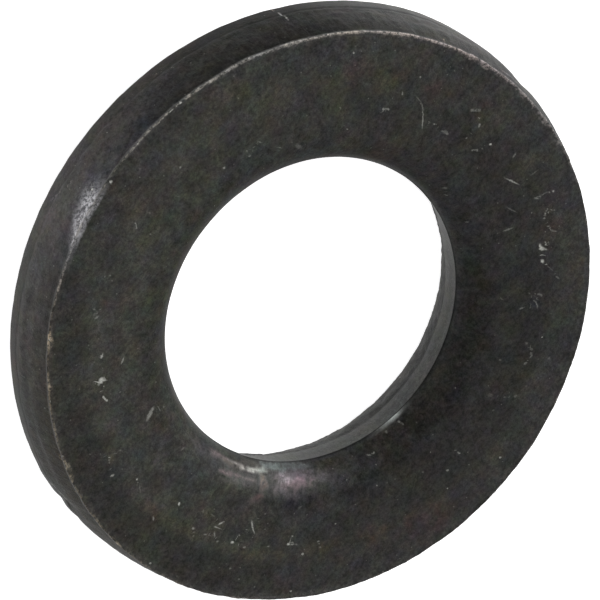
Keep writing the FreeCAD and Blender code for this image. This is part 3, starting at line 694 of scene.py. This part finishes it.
mesh = bpy.data.meshes.new("washer_body")
mesh.vertices.add(len(verts))
mesh.vertices.foreach_set("co", verts.astype(np.float32).ravel())
mesh.loops.add(quads.size)
mesh.loops.foreach_set("vertex_index", quads.astype(np.int32).ravel())
mesh.polygons.add(len(quads))
mesh.polygons.foreach_set("loop_start", (np.arange(len(quads)) * 4).astype(np.int32))
mesh.polygons.foreach_set("loop_total", np.full(len(quads), 4, np.int32))
mesh.polygons.foreach_set("use_smooth", np.ones(len(quads), bool))
mesh.update(calc_edges=True)
mesh.validate()
for name, field in (("wear", wear), ("torn", TORN), ("land", LAND), ("crease_shade", crease_shade), ("worn_patch_highlight", worn_patch_highlight), ("tone_and_shade", tone_and_shade),
                    ("gloss", gloss)):
    at = mesh.attributes.new(name, "FLOAT", "POINT")
    at.data.foreach_set("value", field.reshape(-1).astype(np.float32))
for name, field in (("mark_c", mark_c), ("mark_u", mark_u), ("mark_v", mark_v), ("hue", hue)):
    at = mesh.attributes.new(name, "FLOAT_VECTOR", "POINT")
    at.data.foreach_set("vector", field.reshape(-1).astype(np.float32))
at = mesh.attributes.new("lip_tint_highlight", "FLOAT_COLOR", "POINT")
at.data.foreach_set("color", lip_tint_highlight.reshape(-1).astype(np.float32))
washer = bpy.data.objects.new("washer_body", mesh)
bpy.context.scene.collection.objects.link(washer)


# --------------------------------------------------------------------------
# Material: quench-blackened carbon steel
# --------------------------------------------------------------------------
class Graph:
    def __init__(self, tree):
        self.t = tree

    def node(self, kind, **props):
        n = self.t.nodes.new(kind)
        for key, val in props.items():
            setattr(n, key, val)
        return n

    def put(self, socket, value):
        if isinstance(value, bpy.types.NodeSocket):
            self.t.links.new(value, socket)
        elif value is not None:
            socket.default_value = value

    def math(self, op, a, b=None, clamp=False):
        n = self.node("ShaderNodeMath", operation=op, use_clamp=clamp)
        self.put(n.inputs[0], a)
        if b is not None:
            self.put(n.inputs[1], b)
        return n.outputs[0]

    def vec(self, op, a, b=None, scale=None):
        n = self.node("ShaderNodeVectorMath", operation=op)
        self.put(n.inputs[0], a)
        if b is not None:
            self.put(n.inputs[1], b)
        if scale is not None:
            self.put(n.inputs["Scale"], scale)
        return n.outputs["Value"] if op in ("DOT_PRODUCT", "LENGTH", "DISTANCE") else n.outputs[0]

    def attr(self, name):
        return self.node("ShaderNodeAttribute", attribute_name=name).outputs["Fac"]

    def noise(self, vec, scale, detail=3.0, rough=0.55, distort=0.0, colour=False):
        n = self.node("ShaderNodeTexNoise")
        self.put(n.inputs["Vector"], vec)
        self.put(n.inputs["Scale"], scale)
        self.put(n.inputs["Detail"], detail)
        self.put(n.inputs["Roughness"], rough)
        self.put(n.inputs["Distortion"], distort)
        return n.outputs["Color"] if colour else n.outputs["Fac"]

    def remap(self, value, a, b, c=0.0, d=1.0, smooth=False):
        n = self.node("ShaderNodeMapRange", interpolation_type="SMOOTHSTEP" if smooth else "LINEAR")
        self.put(n.inputs["Value"], value)
        for key, val in (("From Min", a), ("From Max", b), ("To Min", c), ("To Max", d)):
            self.put(n.inputs[key], val)
        return n.outputs["Result"]

    def mix(self, fac, a, b, mode="MIX"):
        n = self.node("ShaderNodeMix", data_type="RGBA", blend_type=mode)
        self.put(n.inputs[0], fac)
        self.put(n.inputs[6], a if isinstance(a, bpy.types.NodeSocket) else (*a, 1.0))
        self.put(n.inputs[7], b if isinstance(b, bpy.types.NodeSocket) else (*b, 1.0))
        return n.outputs[2]

    def ramp(self, fac, stops):
        n = self.node("ShaderNodeValToRGB")
        self.put(n.inputs[0], fac)
        e = n.color_ramp.elements
        while len(e) < len(stops):
            e.new(0.5)
        for el, (pos, col) in zip(e, stops):
            el.position, el.color = pos, (*col, 1.0)
        return n.outputs["Color"]

    def mapping(self, vec, loc=(0, 0, 0), rot=(0, 0, 0), scale=(1, 1, 1), kind="POINT"):
        n = self.node("ShaderNodeMapping", vector_type=kind)
        self.put(n.inputs["Vector"], vec)
        self.put(n.inputs["Location"], loc)
        self.put(n.inputs["Rotation"], rot)
        self.put(n.inputs["Scale"], scale)
        return n.outputs["Vector"]


SPEC = 0.42
BASE = (0.0202, 0.0204, 0.0196)


def blackened_steel():
    m = bpy.data.materials.new("blackened_steel")
    m.use_nodes = True
    t = m.node_tree
    t.nodes.clear()
    g = Graph(t)
    out = g.node("ShaderNodeOutputMaterial")
    bsdf = g.node("ShaderNodeBsdfPrincipled")
    t.links.new(bsdf.outputs[0], out.inputs[0])
    obj = g.node("ShaderNodeTexCoord").outputs["Object"]
    mm = g.mapping(obj, scale=(1000, 1000, 1000))            # coordinates in millimetres

    a_wear, a_torn, a_land = g.attr("wear"), g.attr("torn"), g.attr("land")
    a_crease_shade, a_worn_patch_highlight, a_tone_and_shade, a_gloss = g.attr("crease_shade"), g.attr("worn_patch_highlight"), g.attr("tone_and_shade"), g.attr("gloss")

    # ---- oxide colour: near-black, with grain at every scale
    n_mid = g.noise(mm, 1.35, 5, 0.70, 0.4)
    n_hue = g.noise(mm, 1.5, 5, 0.62, 0.0, colour=True)
    n_fine = g.noise(mm, 5.5, 3, 0.65)
    n_grain = g.noise(mm, 15.0, 3, 0.7)
    lift = g.math("MULTIPLY", g.remap(n_mid, 0.3, 0.7, 0.60, 1.46), g.remap(n_fine, 0.3, 0.7, 0.56, 1.50))
    lift = g.math("MAXIMUM", g.math("MULTIPLY", lift, g.remap(n_grain, 0.3, 0.7, 0.67, 1.37)), 0.1)
    body = g.math("MULTIPLY", lift, a_tone_and_shade)
    hue = g.node("ShaderNodeAttribute", attribute_name="hue").outputs["Vector"]
    jitter = g.vec("ADD", g.vec("MULTIPLY", n_hue, (0.74, 0.74, 1.28)), (0.63, 0.63, 0.36))
    c = g.vec("MULTIPLY", g.vec("MULTIPLY", hue, jitter), BASE)
    c = g.vec("SCALE", c, scale=body)

    # torn metal holds less even oxide: greyer and patchier; sheared land is smoother and greyer
    patchy = g.remap(g.noise(mm, 2.6, 5, 0.72, 0.3), 0.32, 0.68, -0.50, 0.50)
    c = g.vec("SCALE", c, scale=g.math("ADD", 1.0, g.math("MULTIPLY", a_torn, patchy)))
    torn_mottle = g.remap(g.noise(mm, 3.2, 5, 0.7, 0.3), 0.42, 0.66, 0, 1, True)
    pale = g.math("MULTIPLY", g.math("MULTIPLY", a_torn, torn_mottle), g.math("MULTIPLY", a_tone_and_shade, 0.38))
    c = g.mix(pale, c, (0.070, 0.069, 0.065))
    # interference film: heat tint with a painted highlight on the lip
    lip_tint_highlight = g.node("ShaderNodeAttribute", attribute_name="lip_tint_highlight")
    tint_highlight_cov = g.math("MULTIPLY", lip_tint_highlight.outputs["Alpha"], g.remap(n_fine, 0.3, 0.65, 0.55, 1.0))
    tint_highlight_cov = g.math("MULTIPLY", tint_highlight_cov, g.remap(n_grain, 0.3, 0.6, 0.70, 1.0))
    c = g.mix(g.math("MULTIPLY", tint_highlight_cov, 0.72), c, lip_tint_highlight.outputs["Color"])
    # mashed rim patch, worn metal and painted highlight: dull bright metal, peppered with what is left of the oxide
    pepper = g.remap(g.noise(mm, 6.0, 4, 0.74, 0.4), 0.40, 0.60, 0.16, 1.0, True)
    patch_highlight_cov = g.math("MULTIPLY", a_worn_patch_highlight, pepper)
    c = g.mix(g.math("MULTIPLY", patch_highlight_cov, 0.92), c, (0.44, 0.435, 0.455))
    # painted shade darkens the seam and the crease
    c = g.mix(g.math("MULTIPLY", a_crease_shade, 0.85), c, (0.004, 0.004, 0.004))

    # ---- bare metal: the worn edge, the marks, and scattered pinpricks
    wob = g.noise(mm, 9.0, 2, 0.6, colour=True)
    wob_c = g.node("ShaderNodeVectorMath", operation="SUBTRACT")
    g.put(wob_c.inputs[0], wob)
    wob_c.inputs[1].default_value = (0.5, 0.5, 0.5)
    wob_s = g.node("ShaderNodeVectorMath", operation="SCALE")
    g.put(wob_s.inputs[0], wob_c.outputs[0])
    wob_s.inputs["Scale"].default_value = 0.085
    warped = g.node("ShaderNodeVectorMath", operation="ADD")
    g.put(warped.inputs[0], mm)
    g.put(warped.inputs[1], wob_s.outputs[0])
    mc = g.node("ShaderNodeAttribute", attribute_name="mark_c").outputs["Vector"]
    mu = g.node("ShaderNodeAttribute", attribute_name="mark_u").outputs["Vector"]
    mv = g.node("ShaderNodeAttribute", attribute_name="mark_v").outputs["Vector"]
    rel = g.vec("SUBTRACT", warped.outputs[0], mc)
    du, dv = g.vec("DOT_PRODUCT", rel, mu), g.vec("DOT_PRODUCT", rel, mv)
    reach = g.math("SQRT", g.math("ADD", g.math("MULTIPLY", du, du), g.math("MULTIPLY", dv, dv)))
    mcs = g.node("ShaderNodeSeparateXYZ")
    g.put(mcs.inputs[0], mc)
    marks = g.math("MULTIPLY", g.remap(reach, 0.25, 1.15, 1.0, 0.0, True), mcs.outputs[2])
    marks = g.math("MULTIPLY", marks, g.remap(n_grain, 0.30, 0.58, 0.35, 1.0))

    # random pinpricks
    vor = g.node("ShaderNodeTexVoronoi", feature="F1")
    g.put(vor.inputs["Vector"], warped.outputs[0])
    vor.inputs["Scale"].default_value = 1.15
    sc = g.node("ShaderNodeSeparateColor")
    g.put(sc.inputs[0], vor.outputs["Color"])
    pick = g.remap(sc.outputs[0], 0.70, 0.76, 0, 1)
    size = g.remap(sc.outputs[1], 0, 1, 0.030, 0.070)
    prick = g.math("LESS_THAN", vor.outputs["Distance"], size)
    prick = g.math("MULTIPLY", g.math("MULTIPLY", prick, pick), g.remap(sc.outputs[2], 0, 1, 0.08, 0.55))
    vor2 = g.node("ShaderNodeTexVoronoi", feature="F1")
    g.put(vor2.inputs["Vector"], g.mapping(warped.outputs[0], loc=(3.1, 1.7, 0.4)))
    vor2.inputs["Scale"].default_value = 3.1
    sc2 = g.node("ShaderNodeSeparateColor")
    g.put(sc2.inputs[0], vor2.outputs["Color"])
    pick2 = g.remap(sc2.outputs[0], 0.58, 0.72, 0, 1)
    dust = g.math("MULTIPLY", g.math("MULTIPLY", g.remap(vor2.outputs["Distance"], 0.05, 0.13, 1, 0, True), pick2), g.remap(sc2.outputs[2], 0, 1, 0.02, 0.24))
    pricks = g.math("MAXIMUM", prick, dust)

    wear_n = g.math("MULTIPLY", a_wear, g.remap(g.noise(mm, 6.0, 4, 0.78), 0.38, 0.61, 0.08, 1.36))
    wear_f = g.remap(wear_n, 0.18, 1.0, 0, 0.85)
    bare = g.math("MAXIMUM", g.math("MAXIMUM", wear_f, marks), pricks)
    bare = g.math("MINIMUM", g.math("MAXIMUM", bare, 0.0), 1.0)
    steel = g.vec("MULTIPLY", hue, (0.44, 0.43, 0.42))
    is_mark = g.remap(g.math("SUBTRACT", g.math("MAXIMUM", marks, pricks), wear_f), -0.05, 0.1, 0, 1)
    metal_col = g.mix(is_mark, steel, (0.62, 0.625, 0.575))
    c = g.mix(bare, c, metal_col)
    t.links.new(c, bsdf.inputs["Base Color"])

    # ---- metallic, roughness, specular level
    metallic = g.math("ADD", g.math("MULTIPLY", bare, g.remap(is_mark, 0, 1, 0.60, 0.30)), g.math("MULTIPLY", tint_highlight_cov, 0.55))
    metallic = g.math("ADD", metallic, g.math("MULTIPLY", patch_highlight_cov, 0.55), clamp=True)
    t.links.new(metallic, bsdf.inputs["Metallic"])
    rough = g.remap(n_mid, 0.3, 0.7, 0.40, 0.56)
    rough = g.math("ADD", rough, g.remap(n_fine, 0.3, 0.7, -0.06, 0.07))
    rough = g.math("ADD", rough, g.math("MULTIPLY", a_torn, 0.08))
    rough = g.math("SUBTRACT", rough, g.math("MULTIPLY", a_land, 0.06))
    rough = g.math("SUBTRACT", rough, g.math("MULTIPLY", tint_highlight_cov, 0.10))
    rough = g.math("SUBTRACT", rough, g.math("MULTIPLY", patch_highlight_cov, 0.06))
    rough = g.math("SUBTRACT", rough, g.math("MULTIPLY", bare, 0.06), clamp=True)
    t.links.new(rough, bsdf.inputs["Roughness"])
    bsdf.inputs["IOR"].default_value = 1.5
    spec = g.math("MULTIPLY", g.math("MULTIPLY", a_gloss, SPEC), g.remap(lift, 0.4, 1.8, 0.62, 1.5))
    t.links.new(spec, bsdf.inputs["Specular IOR Level"])

    # ---- relief: orange-peel of the oxide, grain of the tear, pits, scratches
    h_peel = g.math("MULTIPLY", g.noise(mm, 4.2, 4, 0.6), 0.010)
    h_grain = g.math("MULTIPLY", g.noise(mm, 16.0, 3, 0.65), 0.0035)
    stretched = g.mapping(mm, scale=(1, 1, 0.28))
    h_torn = g.math("MULTIPLY", g.math("MULTIPLY", g.noise(stretched, 5.5, 5, 0.68, 0.3), 0.050), a_torn)
    h_pit = g.math("MULTIPLY", g.remap(g.noise(mm, 9.0, 2, 0.5), 0.60, 0.72, 0, 1, True), -0.006)
    h_marks = g.math("MULTIPLY", marks, -0.010)
    height = g.math("ADD", g.math("ADD", g.math("ADD", h_peel, h_grain), g.math("ADD", h_torn, h_pit)), h_marks)
    bump = g.node("ShaderNodeBump")
    bump.inputs["Strength"].default_value = 1.0
    bump.inputs["Distance"].default_value = 0.001
    g.put(bump.inputs["Height"], height)
    t.links.new(bump.outputs[0], bsdf.inputs["Normal"])
    return m


washer.data.materials.append(blackened_steel())
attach(washer, "root")
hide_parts(NODE)

# --------------------------------------------------------------------------
# Camera: pinhole at 20 face radii, 34.5 degrees off the bore's axis, rolled
# --------------------------------------------------------------------------
TH, PHI = math.radians(34.498), math.radians(38.141)
RADIUS = 0.013066
DIST = 20.0 * RADIUS
PX = 302.712                                  # pixels a face radius covers at that distance, in a 600 px frame
OX, OY = 23.718 / PX, 19.206 / PX             # where the centre of the upper face sits from the frame's centre
w = Vector((0, -math.sin(TH), math.cos(TH)))
e3 = Vector((0, math.cos(TH), math.sin(TH)))
f3 = Vector((1, 0, 0))
right = e3 * math.cos(PHI) - f3 * math.sin(PHI)
down = e3 * math.sin(PHI) + f3 * math.cos(PHI)
centre = Vector((0, 0, TOP / 1000.0))
loc = centre + w * DIST - (right * OX + down * OY) * RADIUS
cam_data = bpy.data.cameras.new("camera")
cam_data.sensor_width = 36.0
cam_data.sensor_fit = "HORIZONTAL"
cam_data.lens = PX * 20.0 / 600.0 * 36.0
cam_data.clip_start, cam_data.clip_end = 0.01, 10.0
cam = bpy.data.objects.new("camera", cam_data)
bpy.context.scene.collection.objects.link(cam)
cam.matrix_world = Matrix.Translation(loc) @ Matrix(
    ((right.x, -down.x, w.x), (right.y, -down.y, w.y), (right.z, -down.z, w.z))).to_4x4()
bpy.context.scene.camera = cam

# --------------------------------------------------------------------------
# Floor, world, lights
# --------------------------------------------------------------------------
n = 24
gx = np.linspace(-2.5, 2.5, n + 1)
fverts = [(float(a), float(b), 0.0) for b in gx for a in gx]
ffaces = [(r * (n + 1) + c, r * (n + 1) + c + 1, (r + 1) * (n + 1) + c + 1, (r + 1) * (n + 1) + c) for r in range(n) for c in range(n)]
fmesh = bpy.data.meshes.new("floor")
fmesh.from_pydata(fverts, [], ffaces)
floor = bpy.data.objects.new("floor", fmesh)
bpy.context.scene.collection.objects.link(floor)
fmat = bpy.data.materials.new("floor_pale")
fmat.use_nodes = True
fb = fmat.node_tree.nodes["Principled BSDF"]
fb.inputs["Base Color"].default_value = (0.80, 0.80, 0.80, 1)
fb.inputs["Roughness"].default_value = 0.85
fb.inputs["Specular IOR Level"].default_value = 0.1
fb.inputs["Emission Color"].default_value = (1, 1, 1, 1)
fb.inputs["Emission Strength"].default_value = 0.90
fmesh.materials.append(fmat)

world = bpy.data.worlds.new("studio")
bpy.context.scene.world = world
world.use_nodes = True
wt = world.node_tree
wt.nodes.clear()
wg = Graph(wt)
tc = wg.node("ShaderNodeTexCoord").outputs["Generated"]
sx = wg.node("ShaderNodeSeparateXYZ")
wg.put(sx.inputs[0], tc)
shade = wg.ramp(wg.remap(sx.outputs[2], -0.1, 1.0, 0, 1), [(0.0, (1.1, 1.1, 1.1)), (0.16, (1.05, 1.05, 1.05)), (0.36, (0.60, 0.60, 0.60)), (0.60, (0.32, 0.32, 0.32)), (1.0, (0.18, 0.18, 0.18))])
bg = wg.node("ShaderNodeBackground")
wg.put(bg.inputs["Color"], shade)
bg.inputs["Strength"].default_value = 1.0
wo = wg.node("ShaderNodeOutputWorld")
wt.links.new(bg.outputs[0], wo.inputs[0])


def sun(name, az, el, strength, angle, colour=(1, 1, 1)):
    """A soft light far away in direction az, el: az 0 is the -Y side, 90 the +X side."""
    d = bpy.data.lights.new(name, "SUN")
    d.energy = strength
    d.angle = math.radians(angle)
    d.color = colour
    o = bpy.data.objects.new(name, d)
    bpy.context.scene.collection.objects.link(o)
    a, e = math.radians(az), math.radians(el)
    back = Vector((math.sin(a) * math.cos(e), -math.cos(a) * math.cos(e), math.sin(e)))
    o.rotation_mode = "QUATERNION"
    o.rotation_quaternion = (-back).to_track_quat("-Z", "Y")
    o.location = back * 0.5
    return o


sun("key_side", -100, 38, 1.7, 30)
sun("fill_back", 150, 52, 0.35, 50)
sun("front_low", 14, 20, 0.30, 20)

bpy.context.scene.view_settings.view_transform = "Standard"
bpy.context.scene.view_settings.look = "None"
bpy.context.scene.view_settings.exposure = 0.0
